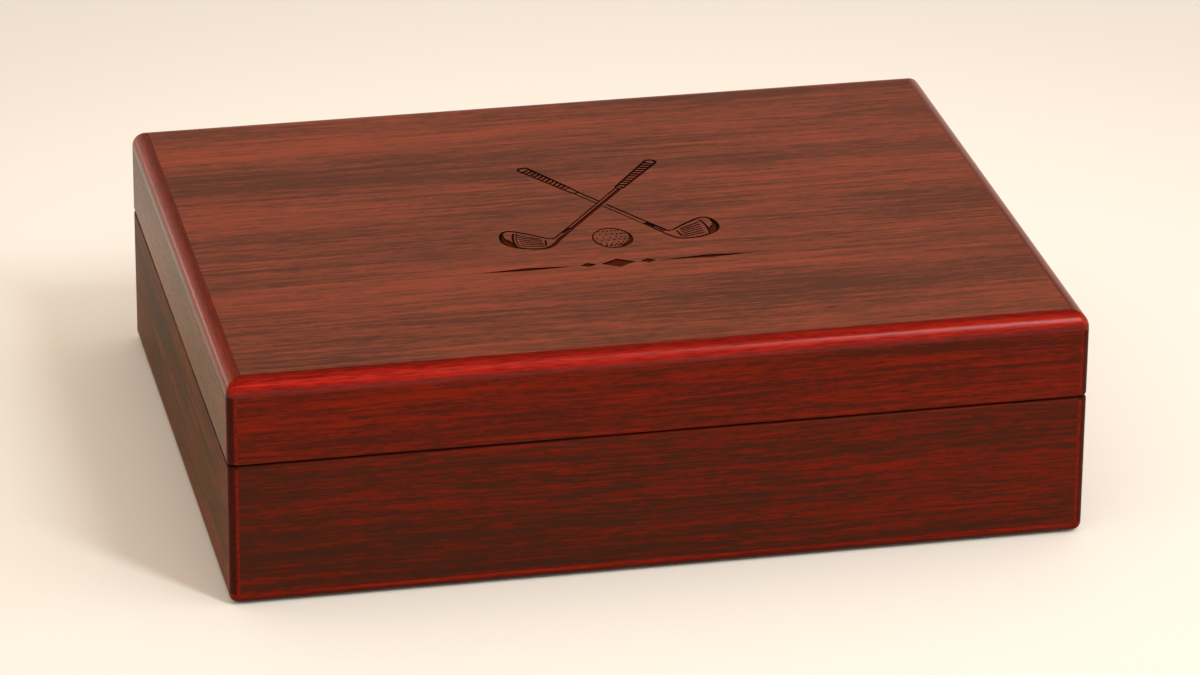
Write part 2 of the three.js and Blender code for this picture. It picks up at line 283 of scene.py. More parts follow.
def new_tree(name, sizes=None):
    """A new Geometry Nodes tree, as wires by name from what goes in: a geometry and its sizes."""
    tree = bpy.data.node_groups.new(name, "GeometryNodeTree")
    for size, kind in {"Geometry": "Geometry", **(sizes or {})}.items():
        tree.interface.new_socket(size, in_out="INPUT", socket_type=f"NodeSocket{kind}")
    tree.interface.new_socket("Geometry", in_out="OUTPUT", socket_type="NodeSocketGeometry")
    entry = tree.nodes.new("NodeGroupInput")
    return {socket.name: Wire(tree, socket) for socket in entry.outputs if socket.name}


def ended_tree(last):
    """Leads the last wire of a Geometry Nodes tree out of it, and gives the tree."""
    leave = last.tree.nodes.new("NodeGroupOutput")
    last.tree.links.new(last.socket, leave.inputs[0])
    return last.tree


def smoothing_tree(angle):
    """Geometry Nodes that shade as round every edge that turns less than an angle."""
    shape = new_tree("round_shading")["Geometry"]
    turn = shape.node("GeometryNodeInputMeshEdgeAngle", None, None, "Unsigned Angle")
    less = shape.node("FunctionNodeCompare", {"operation": "LESS_THAN"}, {0: turn, 1: angle})
    faces = shape.node("GeometryNodeSetShadeSmooth", None, {"Geometry": shape})
    edges = shape.node("GeometryNodeSetShadeSmooth", {"domain": "EDGE"}, {
        "Geometry": faces,
        "Shade Smooth": less,
    })
    return ended_tree(edges)


round_angle = radians(32)
weld_distance = 0.005 * mm
closest_corners = 0.002 * mm
smooth_tree = smoothing_tree(round_angle)


def dress(node, finish, eased=0.0):
    """Gives a CAD node its material. Its loose triangles are welded, its sharp edges eased by a width,
    and its round edges shaded smooth."""
    piece = frame["nodes"][node]
    piece.data.materials.clear()
    piece.data.materials.append(finish)
    weld = piece.modifiers.new("weld", "WELD")
    weld.merge_threshold = weld_distance
    if eased:
        bevel = piece.modifiers.new("eased", "BEVEL")
        bevel.width = eased
        bevel.segments = 2
        bevel.limit_method = "ANGLE"
        bevel.angle_limit = round_angle
    smooth = piece.modifiers.new("smooth", "NODES")
    smooth.node_group = smooth_tree


sides = ("front", "back", "left", "right")
face_shifts = {
    "front": (0.0, 0.0, 0.0),
    "back": (0.31, 0.17, 0.05),
    "left": (0.13, 0.41, 0.09),
    "right": (0.23, 0.53, 0.15),
}
side_grain = {side: "X" if side in ("front", "back") else "Y" for side in sides}
for half, tones, end_tones, gloss, haze, bloom in (
    ("lid", lid_tones, lid_end_tones_and_reflection, 0.027, 0.22, 0.09),
    ("base", base_tones, base_end_tones_and_reflection, 0.009, 0.30, 0.07),
):
    for side in sides:
        name, grain = f"veneer_{half}_{side}", side_grain[side]
        if grain == "X":
            wood = veneer(name, grain, face_shifts[side], tones)
        else:
            wood = veneer(name, grain, face_shifts[side], end_tones, gloss=gloss, haze=haze, bloom=bloom)
        dress(f"{half}_{side}_wall", wood)


# Strips of red wood
# Solid strips, stained red, are let into every outer edge, where veneer would chip.
# The lid's are a quarter round all along the top. All are mitred at the corners and sanded flush.
lid_radius = 4.4 * mm
foot_radius = 2.2 * mm
corner_radius = 2.5 * mm
base_rim_radius = 0.8 * mm
lid_rim_radius = 0.6 * mm
sharp_radius = 0.3 * mm
turn_steps = 14
corner_steps = 8
edge_reds = ((0.160, 0.0040, 0.0014, 1), (0.320, 0.0070, 0.0022, 1), (0.470, 0.0150, 0.0055, 1))
# The end strips' reds are darker and browner than the front's: partly painted shade and painted reflection.
end_shaded_reds = ((0.150, 0.0130, 0.0010, 1), (0.240, 0.0190, 0.0015, 1), (0.330, 0.0280, 0.0030, 1))
foot_reds = ((0.090, 0.0070, 0.0028, 1), (0.165, 0.0105, 0.0040, 1), (0.250, 0.0150, 0.0055, 1))
# The uprights' reds are darker than the edges': partly painted shade on the rounded corners.
upright_shaded_reds = ((0.080, 0.0060, 0.0028, 1), (0.150, 0.0095, 0.0040, 1), (0.220, 0.0130, 0.0055, 1))
# Where a strip faces down or turns into a corner it takes this dark red: painted shade.
painted_shade_red = (0.022, 0.0060, 0.0030, 1)
stain_stops = (0.36, 0.50, 0.66)
red_streak = (60 * mm, 1.1 * mm)
red_fibre = (5 * mm, 0.5 * mm)

# How much of its red a strip shows where it faces down (0), level (0.5) or up (1), and where an
# upright one is turned to a corner (0) or flat (1). This is painted light and shade by the way each part
# faces: painted shade facing down and round the corners, and a painted highlight part way up the lid's
# round.
edge_painted_light = (
    (0.50, 0.30),
    (0.60, 0.52),
    (0.69, 0.84),
    (0.78, 1.0),
    (0.86, 1.0),
    (0.915, 0.80),
    (0.963, 0.60),
    (1.0, 0.45),
)
foot_painted_shade = ((0.0, 0.05), (0.2, 0.16), (0.38, 0.55), (0.49, 1.0))
upright_painted_shade = ((0.70, 0.14), (0.93, 0.22), (0.985, 0.95))


def red_wood(name, grain, shift, reds, painted_ramp, gloss=0.03, haze=0.20, upright=False):
    """Plain wood stained red, with painted light and shade by the way it faces: darker where it faces down
    or turns into a corner.
    """
    made, shader, wire = material(name, Specular_IOR_Level=gloss)
    place = moved_place(wire, shift)
    streaks = wire.noise(place, grained(*red_streak, grain), 3.0, 0.6)
    fibres = wire.noise(place, grained(*red_fibre, grain), 2.0, 0.6)
    stain = (streaks * 0.5 + fibres * 0.5).ramp(stain_stops, reds)
    facing = wire.node("ShaderNodeTexCoord", None, None, "Normal")
    x, y, z = [wire.node("ShaderNodeSeparateXYZ", None, {0: facing}, axis) for axis in "XYZ"]
    if upright:
        turned = wire.math("MAXIMUM", wire.math("ABSOLUTE", x), wire.math("ABSOLUTE", y))
    else:
        turned = z * 0.5 + 0.5
    # Painted light and shade: the share of the stain's red is set by the way the surface faces.
    painted_light_share = turned.ramp([share for share, _ in painted_ramp], [(left, left, left, 1) for _, left in painted_ramp])
    plug(
        shader,
        Base_Color=painted_light_share.mixed(painted_shade_red, stain),
        Roughness=haze + fibres * 0.10,
        Normal=wire.bump(fibres, strength=0.2, distance=0.05 * mm),
    )
    return made


def mesh_piece(name, points, faces, finish):
    """A new piece from its points and faces, merged, closed and turned to face outwards."""
    shape = bmesh.new()
    corners = [shape.verts.new(point) for point in points]
    for face in faces:
        shape.faces.new([corners[i] for i in face])
    bmesh.ops.remove_doubles(shape, verts=shape.verts, dist=closest_corners)
    bmesh.ops.recalc_face_normals(shape, faces=shape.faces)
    data = bpy.data.meshes.new(name)
    shape.to_mesh(data)
    shape.free()
    data.materials.append(finish)
    data.shade_smooth()
    data.set_sharp_from_angle(angle=round_angle)
    return put(data)


def faces_between(loops):
    """The faces that join each loop of points to the next. All have as many points."""
    count = len(loops[0])
    faces = []
    for row in range(len(loops) - 1):
        for i in range(count):
            a, b = row * count + i, row * count + (i + 1) % count
            faces.append((a, b, b + count, a + count))
    return faces


def skinned(name, loops, finish):
    """A closed piece through a row of loops, capped at both ends."""
    points = [point for loop in loops for point in loop]
    count = len(loops[0])
    caps = [range(count), range(len(points) - count, len(points))]
    return mesh_piece(name, points, caps + faces_between(loops), finish)


def stands_for(piece, slot, *nodes):
    """The piece takes the place of CAD nodes of one body and moves with that body. The slot is not used."""
    body = frame["nodes"][nodes[0]]["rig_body"]
    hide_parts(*nodes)
    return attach(piece, body)


def toward(side, along, outward, z):
    """A point that lies along and outward of the middle of one side of the box."""
    return {
        "front": (along, -outward, z),
        "back": (-along, outward, z),
        "left": (-outward, -along, z),
        "right": (outward, along, z),
    }[side]


outer_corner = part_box("base_corner_strip_back_right")[1]
half_width, half_depth = outer_corner.x, outer_corner.y


def edge_strip(node, side, profile, width, back_level, finish):
    """One strip along a side, mitred. The profile runs from its outer to its inner edge as
    (distance in, level, radius of the corner in plan), and back_level is the level of its hidden edge."""
    length, reach = (half_width, half_depth) if side in ("front", "back") else (half_depth, half_width)
    loops = []
    for end in (-1, 1):
        for step in range(corner_steps + 1):
            turn = step / corner_steps if end > 0 else 1 - step / corner_steps
            angle = radians(45) * turn
            loop = []
            for inset, z, radius in profile:
                along = length - inset - radius + radius * sin(angle)
                outward = reach - inset - radius + radius * cos(angle)
                loop.append(toward(side, end * along, outward, z))
            inner = profile[-1]
            loop.append(toward(side, end * (length - width), reach - width, inner[1]))
            loop.append(toward(side, end * (length - width), reach - width, back_level))
            loops.append(loop)
    return skinned(f"{node}_wood", loops, finish)


def quarter_turn(radius, steps):
    """The rounding of an edge, as distances in from the two faces that would meet at it."""
    angles = [pi / 2 * step / steps for step in range(steps + 1)]
    return [(radius * (1 - cos(angle)), radius * (1 - sin(angle))) for angle in angles]


def quarter_round(edge_level, end_level, radius, way):
    """The profile of a strip that turns over, up to the top (way 1) or down to the foot (way -1)."""
    rows = [(0.0, edge_level, corner_radius)]
    for inset, rise in quarter_turn(radius, turn_steps):
        if way > 0:
            plan_radius = corner_radius * (1 - inset / radius)
        else:
            plan_radius = max(corner_radius - inset, sharp_radius)
        rows.append((inset, end_level - way * rise, plan_radius))
    return rows


for side in sides:
    node = f"lid_edge_strip_{side}"
    low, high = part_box(node)
    profile = quarter_round(low.z, high.z, lid_radius, 1)
    name, grain = f"red_edge_{side}", side_grain[side]
    if grain == "X":
        wood = red_wood(name, grain, face_shifts[side], edge_reds, edge_painted_light, gloss=0.18)
    else:
        wood = red_wood(name, grain, face_shifts[side], end_shaded_reds, edge_painted_light, gloss=0.12, haze=0.18)
    stands_for(edge_strip(node, side, profile, lid_radius, low.z, wood), "red_edge_wood", node)
    node = f"base_foot_strip_{side}"
    low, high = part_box(node)
    profile = quarter_round(high.z, low.z, foot_radius, -1)
    strip_width = min(high.x - low.x, high.y - low.y)
    wood = red_wood(f"red_foot_{side}", side_grain[side], face_shifts[side], foot_reds, foot_painted_shade)
    stands_for(edge_strip(node, side, profile, strip_width, high.z, wood), "red_edge_wood", node)


def corner_strip(node, rim_radius, rim_up, finish):
    """One upright strip with its outer edge rounded, turned over at the rim."""
    low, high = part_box(node)
    width = high.x - low.x
    right = 1 if low.x > 0 else -1
    back = 1 if low.y > 0 else -1
    rim, end = (high.z, low.z) if rim_up > 0 else (low.z, high.z)
    levels = [(end, 0.0)]
    levels += [(rim - rim_up * rise, inset) for inset, rise in quarter_turn(rim_radius, turn_steps)]
    loops = []
    for z, inset in levels:
        radius = max(corner_radius - inset, sharp_radius)
        plan = [(width, width), (width, inset)]
        plan += [(inset + p, inset + q) for q, p in quarter_turn(radius, 2 * corner_steps)]
        plan.append((inset, width))
        loops.append([(right * (half_width - p), back * (half_depth - q), z) for p, q in plan])
    return skinned(f"{node}_wood", loops, finish)


upright_wood = red_wood("red_upright", "Y", face_shifts["right"], upright_shaded_reds, upright_painted_shade, upright=True)
for corner in ("front_left", "front_right", "back_left", "back_right"):
    for half, rim_radius, rim_up in (("base", base_rim_radius, 1), ("lid", lid_rim_radius, -1)):
        node = f"{half}_corner_strip_{corner}"
        stands_for(corner_strip(node, rim_radius, rim_up, upright_wood), "red_edge_wood", node)


# Floor of the base and the felt under it
# A veneered panel is let in from below between the foot strips, and holds the frame square.
# A sheet of brown felt is glued under it, short of the edges, so that the box doesn't mark a table.
# The felt is near black. Its edge, seen in the gap under the foot strips, stands partly for the dark shadow
# line there: painted shadow.
felt_corner = 4 * mm
felt_edge = 0.25 * mm
felt_colors = ((0.0100, 0.0070, 0.0055, 1), (0.0280, 0.0200, 0.0160, 1))
nap_patch = (18 * mm, 30 * mm, 18 * mm)
nap_tint = (1.0, 0.93, 0.88, 1)


def round_cornered(half_x, half_y, radius, steps):
    """A rectangle about the origin with round corners, as points in order."""
    points = []
    for quarter, (way_x, way_y) in enumerate(((1, 1), (-1, 1), (-1, -1), (1, -1))):
        x, y = way_x * (half_x - radius), way_y * (half_y - radius)
        for step in range(steps + 1):
            angle = pi / 2 * (quarter + step / steps)
            points.append((x + radius * cos(angle), y + radius * sin(angle)))
    return points


def napped(name, colors, fibre, nap_depth, sheen):
    """Cloth with a short nap: fine fibres, and patches where the nap lies the other way."""
    made, shader, wire = material(
        name,
        Specular_IOR_Level=0.1,
        Sheen_Weight=sheen,
        Sheen_Roughness=0.45,
        Sheen_Tint=nap_tint,
    )
    place = moved_place(wire)
    fibres = wire.noise(place, (fibre, fibre, fibre), 3.0, 0.7)
    patches = wire.noise(place, nap_patch)
    tone = fibres * 0.65 + patches * 0.35
    plug(
        shader,
        Base_Color=tone.between(0.36, 0.64).mixed(*colors),
        Roughness=0.82 + patches * 0.15,
        Normal=wire.bump(fibres, strength=0.7, distance=nap_depth),
    )
    return made


dress("base_floor_panel", veneer("veneer_underside", "X", face_shifts["back"], base_tones))
felt = napped("felt", felt_colors, fibre=0.6 * mm, nap_depth=0.12 * mm, sheen=0.15)
low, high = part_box("base_felt")
middle, reach = (low + high) / 2, (high - low) / 2
felt_loops = []
for z, inset in ((low.z, felt_edge), (middle.z, 0.0), (high.z, felt_edge)):
    outline = round_cornered(reach.x - inset, reach.y - inset, felt_corner, corner_steps)
    felt_loops.append([(middle.x + x, middle.y + y, z) for x, y in outline])
stands_for(skinned("felt_sheet", felt_loops, felt), "underside_felt", "base_felt")


# Carved top of the lid
# One veneered panel, stepped to drop between the walls, lies between the quarter rounds.
# A golfer's emblem, two crossed irons over a ball, and a plain rule are engraved in it.
line_depth = 0.30 * mm
ground_depth = 0.36 * mm
groove_depth = 0.50 * mm
fine_line = 0.45 * mm
score_line = fine_line * 1.15
main_line = 0.62 * mm
bold_line = 0.85 * mm
marks = []


def ribbon(points, width, closed=False, depth=line_depth):
    """Engraves a line through points. The width is one number, or one for each point."""
    count = len(points)
    widths = width if isinstance(width, (list, tuple)) else [width] * count
    edges = []
    for i, point in enumerate(points):
        before = points[(i - 1) % count] if closed or i else point
        after = points[(i + 1) % count] if closed or i < count - 1 else point
        run = (after - before).normalized()
        normal = Vector((-run.y, run.x))
        edges.append((point + normal * widths[i] / 2, point - normal * widths[i] / 2))
    for i in range(count if closed else count - 1):
        (a, b), (c, d) = edges[i], edges[(i + 1) % count]
        marks.append(([b, d, c, a], depth))


def filled(points, depth=ground_depth):
    """Engraves a whole area inside an outline."""
    turned = sum(p.x * q.y - q.x * p.y for p, q in zip(points, points[1:] + points[:1]))
    marks.append((points if turned > 0 else points[::-1], depth))


def curve_through(points, steps=6):
    """A smooth line through points, by cubic steps between each pair."""
    found = []
    for i in range(len(points) - 1):
        p1, p2 = points[i], points[i + 1]
        p0 = points[i - 1] if i else p1
        p3 = points[i + 2] if i < len(points) - 2 else p2
        for step in range(steps):
            t = step / steps
            found.append(0.5 * (
                2 * p1 + (p2 - p0) * t
                + (2 * p0 - 5 * p1 + 4 * p2 - p3) * t ** 2
                + (3 * p1 - p0 - 3 * p2 + p3) * t ** 3
            ))
    return found + [points[-1]]


class Club:
    """An iron seen from its face. Its shaft runs from butt to heel, and its head lies to one side.
    Across is the way from the shaft's middle towards the side that its shade falls on, to the right."""

    ring_share = 0.024
    ferrule_shares = (0.853, 0.920)
    hatch_end_share = 0.985
    butt_width = 3.2 * mm
    grip_end_width = 2.3 * mm
    shaft_width = 1.55 * mm
    hosel_width = 1.9 * mm
    head_length = 14.8 * mm
    head_height = 14.0 * mm

    # The lines and shades of the head, as shares of its length and height from the heel. A score is
    # given at either end, by its share of the length and the heights of the first and the last one.
    blade_shares = (
        (0.035, -0.19), (0.12, -0.30), (0.25, -0.365), (0.40, -0.37), (0.55, -0.335), (0.70, -0.27),
        (0.83, -0.185), (0.925, -0.07), (0.98, 0.10), (0.98, 0.29), (0.935, 0.46), (0.86, 0.57),
        (0.76, 0.585), (0.635, 0.52), (0.50, 0.415), (0.36, 0.30), (0.235, 0.185), (0.13, 0.095),
    )
    sole_shade_shares = (
        (0.055, -0.12), (0.15, -0.24), (0.28, -0.34), (0.25, -0.365), (0.13, -0.305), (0.045, -0.20),
    )
    toe_shade_shares = (
        (0.90, 0.50), (0.905, 0.31), (0.885, 0.19), (0.83, 0.13), (0.80, 0.0), (0.785, -0.19),
        (0.83, -0.185), (0.925, -0.07), (0.98, 0.10), (0.98, 0.29), (0.935, 0.46),
    )
    toe_line_shares = ((0.70, 0.47), (0.745, 0.33), (0.772, 0.15), (0.778, -0.03), (0.76, -0.20))
    heel_line_shares = ((0.19, 0.03), (0.235, -0.25))
    score_shares = ((0.26, 0.095, -0.285), (0.675, 0.375, -0.155))

    def __init__(self, butt, heel, side, collar_shares, gap_shares=((0.5, 0.5), (0.5, 0.5)), banded=False):
        self.butt = Vector(butt) * mm
        self.heel = Vector(heel) * mm
        self.side = side
        self.collar_shares = collar_shares
        self.gap_shares = gap_shares
        self.banded = banded
        self.run = self.heel - self.butt
        self.across = Vector((-self.run.y, self.run.x)).normalized()

    def at(self, share, width_share, width):
        """A point along the shaft, off its middle by a share of half a width."""
        return self.butt + self.run * share + self.across * (width_share * width / 2)

    def patch(self, start, end, left, right, width, depth=ground_depth):
        """Engraves a stretch of the shaft, between two shares of half a width."""
        corners = ((start, left), (start, right), (end, right), (end, left))
        filled([self.at(share, way, width) for share, way in corners], depth)

    def head(self, shares):
        """Points of the head, as shares of its length and height from the heel."""
        scale = Vector((self.side * self.head_length, self.head_height))
        return [self.heel + scale * Vector(share) for share in shares]

    def grip_width(self, share):
        return self.butt_width + (self.grip_end_width - self.butt_width) * share / self.collar_shares[0]

    def grip(self, turns=11, turn_share=0.60, lean_share=0.55, bulge=0.016, steps=6):
        """The wrapped grip: its dark edges and, between them, the slanting turns of the wrap."""
        start, end = self.ring_share, self.collar_shares[0]
        ribbon([
            self.at(-bulge * sin(pi * step / steps), 1 - 2 * step / steps, self.butt_width)
            for step in range(steps + 1)
        ], bold_line)
        ribbon([self.at(start, way, self.grip_width(start)) for way in (1, -1)], fine_line)
        pitch = (end - start) / turns
        for i in range(turns):
            share = start + pitch * i
            lean = lean_share * pitch
            filled([self.at(max(start, s), way, self.grip_width(share)) for s, way in (
                (share, -1),
                (share - lean, 1),
                (share - lean + turn_share * pitch, 1),
                (share + turn_share * pitch, -1),
            )])
        for way, width in ((-1, main_line), (1, bold_line)):
            edge = [self.at(s, way, self.grip_width(s)) for s in (0.0, end)]
            ribbon(edge, [width, main_line], depth=groove_depth)

    def collar(self):
        """The plain end of the grip, between two rings."""
        ends = list(zip(self.collar_shares, (self.grip_end_width, self.shaft_width)))
        for share, width in ends:
            ribbon([self.at(share, way, width) for way in (1, -1)], main_line)
        for way in (-1, 1):
            ribbon([self.at(share, way, width) for share, width in ends], main_line)

    def shaft(self):
        """The two sides of the shaft, broken where the other club passes over it. A banded shaft has
        a sunk band of shade along its right side."""
        start, end = self.collar_shares[1], self.ferrule_shares[0]
        for way, width, gap in zip((-1, 1), (fine_line, main_line), self.gap_shares):
            for first, last in ((start, gap[0]), (gap[1], end)):
                ends = [self.at(share, way, self.shaft_width) for share in (first, last)]
                ribbon(ends, width, depth=groove_depth)
        if self.banded:
            self.patch(start, end, -0.05, 1, self.shaft_width)

    def hosel(self, hatches=4):
        """The ferrule on the shaft, and the socket of the head below it."""
        start, end = self.ferrule_shares
        width = self.hosel_width
        self.patch(start, end, -1, 1, width, ground_depth if self.banded else line_depth)
        for way, line in ((-1, fine_line), (1, main_line)):
            edge = [self.at(start, way, self.shaft_width), self.at(1.0, way, width)]
            ribbon(edge, line, depth=groove_depth)
        if self.banded:
            self.patch(end, 1.0, 0.0, 1, width)
            filled([self.at(1.0, way, width) for way in (1, 0)] + self.head(self.sole_shade_shares))
            return
        pitch = (self.hatch_end_share - end) / hatches
        for i in range(hatches):
            self.patch(end + pitch * (i + 0.3), end + pitch * (i + 1), -0.6, 1, width)

    def blade(self, swell=0.6):
        """The head's outline, from the hosel round the sole and the toe, and back to the hosel."""
        outer, inner = (-1, 1) if self.side > 0 else (1, -1)
        outline = [self.at(share, outer, self.hosel_width) for share in (0.93, 0.99)]
        outline += self.head(self.blade_shares)
        outline += [self.at(0.99, inner, self.hosel_width)]
        line = curve_through(outline)
        swells = [sin(pi * i / (len(line) - 1)) ** swell for i in range(len(line))]
        ribbon(line, [fine_line + (bold_line - fine_line) * s for s in swells], depth=groove_depth)

    def face(self, scores=6):
        """The scored panel on the face, and the shade at the toe."""
        ribbon(curve_through(self.head(self.toe_line_shares)), main_line)
        if self.banded:
            second = [(x - 0.06, y) for x, y in self.toe_line_shares]
            ribbon(curve_through(self.head(second)), fine_line * 0.7)
        ribbon(self.head(self.heel_line_shares), main_line * 0.9)
        for i in range(scores):
            drop = i / (scores - 1)
            ends = [(x, first + (last - first) * drop) for x, first, last in self.score_shares]
            ribbon(self.head(ends), score_line)
        filled(self.head(self.toe_shade_shares))

    def draw(self):
        self.grip()
        self.collar()
        self.shaft()
        self.hosel()
        self.blade()
        self.face()


front_iron = Club(
    butt=(23.9, 37.3),
    heel=(-13.2, -13.0),
    side=-1,
    collar_shares=(0.330, 0.352),
    banded=True,
)
back_iron = Club(
    butt=(-12.35, 38.0),
    heel=(17.3, -13.2),
    side=1,
    collar_shares=(0.312, 0.381),
    gap_shares=((0.536, 0.576), (0.527, 0.571)),
)
front_iron.draw()
back_iron.draw()

ball_centre = Vector((1.95 * mm, -14.45 * mm))
ball_reach = Vector((5.2 * mm, 6.6 * mm))


def on_ball(share, angle):
    """A point of the ball, at a share of its radius."""
    return ball_centre + share * ball_reach * Vector((cos(angle), sin(angle)))


ball_steps = 48
ball_line_swell = (bold_line - fine_line) * 0.6
shade_angle = radians(-28)
ball_angles = [tau * i / ball_steps for i in range(ball_steps)]
ribbon(
    [on_ball(1.0, angle) for angle in ball_angles],
    [main_line + ball_line_swell * cos(angle - shade_angle) ** 3 for angle in ball_angles],
    closed=True,
)
shade_reach = radians(58)
shade_depth = 0.16
shade_steps = 12
shade_turns = [shade_reach * (2 * i / shade_steps - 1) for i in range(shade_steps + 1)]
shade_outline = [on_ball(1.0, shade_angle + turn) for turn in shade_turns]
for turn in shade_turns[-2:0:-1]:
    share = 1 - shade_depth * (1 - (turn / shade_reach) ** 2)
    shade_outline.append(on_ball(share, shade_angle + turn))
filled(shade_outline)

# Rows of dimples, closer and heavier towards the shade at the lower right. Their places are shares
# of the ball's radius, from the top row down and from the left of each row.
dimple_rows, dimple_columns = 7, 6
dimple_top, dimple_fall = 0.74, 1.52
dimple_left, dimple_span = -0.80, 1.66
dimple_size = Vector((0.26, 0.40)) * mm
crowding = 1.4
dimple_sides = 6
dimple_draw = Random(5)
for row in range(dimple_rows):
    fall = 1 - (1 - row / (dimple_rows - 1)) ** crowding
    y = dimple_top - dimple_fall * fall
    reach = (1 - y ** 2) ** 0.5
    for column in range(dimple_columns):
        across = 1 - (1 - (column + 0.5 * (row % 2)) / dimple_columns) ** crowding
        x = reach * (dimple_left + dimple_span * across)
        heavy = max(0.0, (x - y) / 2)
        size = dimple_size * (1 + 0.6 * heavy) * dimple_draw.uniform(0.85, 1.15)
        middle = ball_centre + ball_reach * Vector((x, y))
        angles = [tau * i / dimple_sides for i in range(dimple_sides)]
        filled([middle + size * Vector((cos(angle), sin(angle))) for angle in angles], line_depth)

# The rule below the emblem: a lozenge between two long points.
rule_y = -31.5 * mm


def lozenge(x, half_length, half_height):
    centre = Vector((x, rule_y))
    filled([centre + Vector(p) for p in (
        (-half_length, 0), (0, -half_height), (half_length, 0), (0, half_height),
    )])


lozenge(0, 4.6 * mm, 2.9 * mm)
for way in (-1, 1):
    lozenge(way * 8.2 * mm, 2.2 * mm, 1.4 * mm)
    lozenge(way * 24.6 * mm, 13.2 * mm, 1.0 * mm)


engraved_fibre = (4 * mm, 0.3 * mm)


def engraving(name, dark, light):
    """Wood cut bare, with its fibres torn a little and stained by age. A dark one also stands partly for
    painted shade in narrow cuts.
    """
    made, shader, wire = material(name, Specular_IOR_Level=0.03)
    place = moved_place(wire, face_shifts["front"])
    fibres = wire.noise(place, grained(*engraved_fibre, "X"), 3.0, 0.6)
    plug(
        shader,
        Base_Color=fibres.between(0.35, 0.65).mixed(dark, light),
        Roughness=0.6 + fibres * 0.2,
        Normal=wire.bump(fibres, strength=0.5, distance=0.08 * mm),
    )
    return made


# The top's tones hold more green and blue than the walls': partly the wood, partly painted haze of reflected
# light.
top_tones_and_haze = (
    (0.097, 0.0215, 0.0080, 1),
    (0.148, 0.0335, 0.0132, 1),
    (0.208, 0.0410, 0.0168, 1),
    (0.290, 0.0485, 0.0182, 1),
)
top_veneer = veneer("veneer_top", "X", (0.0, 0.0, 0.0), top_tones_and_haze, fleck_depth=0.35, gloss=0.11)
# The dark finish of the lines and of every cut's walls is partly burnt wood and partly painted shade in the
# narrow cuts.
line_and_shade_finish = engraving("engraved_line_and_shade", (0.010, 0.0022, 0.0010, 1), (0.024, 0.0045, 0.0017, 1))
ground_finish = engraving("engraved_ground", (0.048, 0.0056, 0.0012, 1), (0.096, 0.0125, 0.0026, 1))
mark_levels = (
    (0.0, top_veneer),
    (line_depth, line_and_shade_finish),
    (ground_depth, ground_finish),
    (groove_depth, line_and_shade_finish),
)

# The cutting keeps only the triangles inside the outlines, and joins points that are this close.
inside_only = 1
closest_points = 0.0001 * mm


def carved_panel(node):
    """The panel, whose top face is cut into the marks and let down to their depths."""
    low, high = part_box(node)
    inner_low, inner_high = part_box("lid_lining_front")[0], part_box("lid_lining_back")[1]
    wall_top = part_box("lid_front_wall")[1].z
    flat = [Vector((x, y)) for x, y in (
        (low.x, low.y), (high.x, low.y), (high.x, high.y), (low.x, high.y),
    )]
    corners = list(flat)
    outlines = [[0, 1, 2, 3]]
    for outline, _ in marks:
        outlines.append(list(range(len(corners), len(corners) + len(outline))))
        corners += outline
    points, _, faces, _, _, sources = delaunay_2d_cdt(corners, [], outlines, inside_only, closest_points)
    depths = [depth for depth, _ in mark_levels]
    level_of = []
    for source in sources:
        level_of.append(max((depths.index(marks[s - 1][1]) for s in source if s > 0), default=0))
    shape = bmesh.new()
    made = {}

    def vertex(i, level):
        if (i, level) not in made:
            x, y = points[i]
            made[i, level] = shape.verts.new((x, y, high.z - depths[level]))
        return made[i, level]

    # The faces lie at the depths of their marks, and a wall joins two that lie at unlike depths.
    edge_levels = {}
    for face, level in zip(faces, level_of):
        shape.faces.new([vertex(i, level) for i in face]).material_index = level
        for a, b in zip(face, face[1:] + face[:1]):
            edge_levels.setdefault((min(a, b), max(a, b)), []).append(((a, b), level))
    for uses in edge_levels.values():
        if len(uses) == 2 and uses[0][1] != uses[1][1]:
            ((a, b), upper), (_, lower) = sorted(uses, key=lambda use: use[1])
            wall = [vertex(b, upper), vertex(a, upper), vertex(a, lower), vertex(b, lower)]
            # Every wall takes the dark line finish: partly painted shade.
            shape.faces.new(wall).material_index = 1

    # The sides go down to the rims of the walls, in under them, and down again to the underside.
    rings = [[vertex(min(range(len(points)), key=lambda i: (points[i] - p).length), 0) for p in flat]]
    for (x0, y0), (x1, y1), z in (
        (low.xy, high.xy, wall_top),
        (inner_low.xy, inner_high.xy, wall_top),
        (inner_low.xy, inner_high.xy, low.z),
    ):
        rings.append([shape.verts.new(p) for p in ((x0, y0, z), (x1, y0, z), (x1, y1, z), (x0, y1, z))])
    for upper, lower in zip(rings, rings[1:]):
        for i in range(4):
            j = (i + 1) % 4
            shape.faces.new([upper[j], upper[i], lower[i], lower[j]])
    shape.faces.new(rings[-1][::-1])
    bmesh.ops.recalc_face_normals(shape, faces=shape.faces)
    data = bpy.data.meshes.new("lid_top_carved")
    shape.to_mesh(data)
    shape.free()
    for _, finish in mark_levels:
        data.materials.append(finish)
    return put(data)


stands_for(carved_panel("lid_top_panel"), "rosewood_veneer", "lid_top_panel")


# Hinges
# Two brass stop hinges are let into the rims at the back. Each has a leaf in either half, whose
# knuckles turn on a pin with riveted ends, and square heels that stop the lid just past upright.
brass_colors = ((0.640, 0.430, 0.170, 1), (0.760, 0.540, 0.240, 1))
scratch_size = (6 * mm, 0.12 * mm, 0.12 * mm)
tarnish_size = (5 * mm, 4 * mm, 4 * mm)
leaf_edge = 0.12 * mm
pin_edge = 0.15 * mm


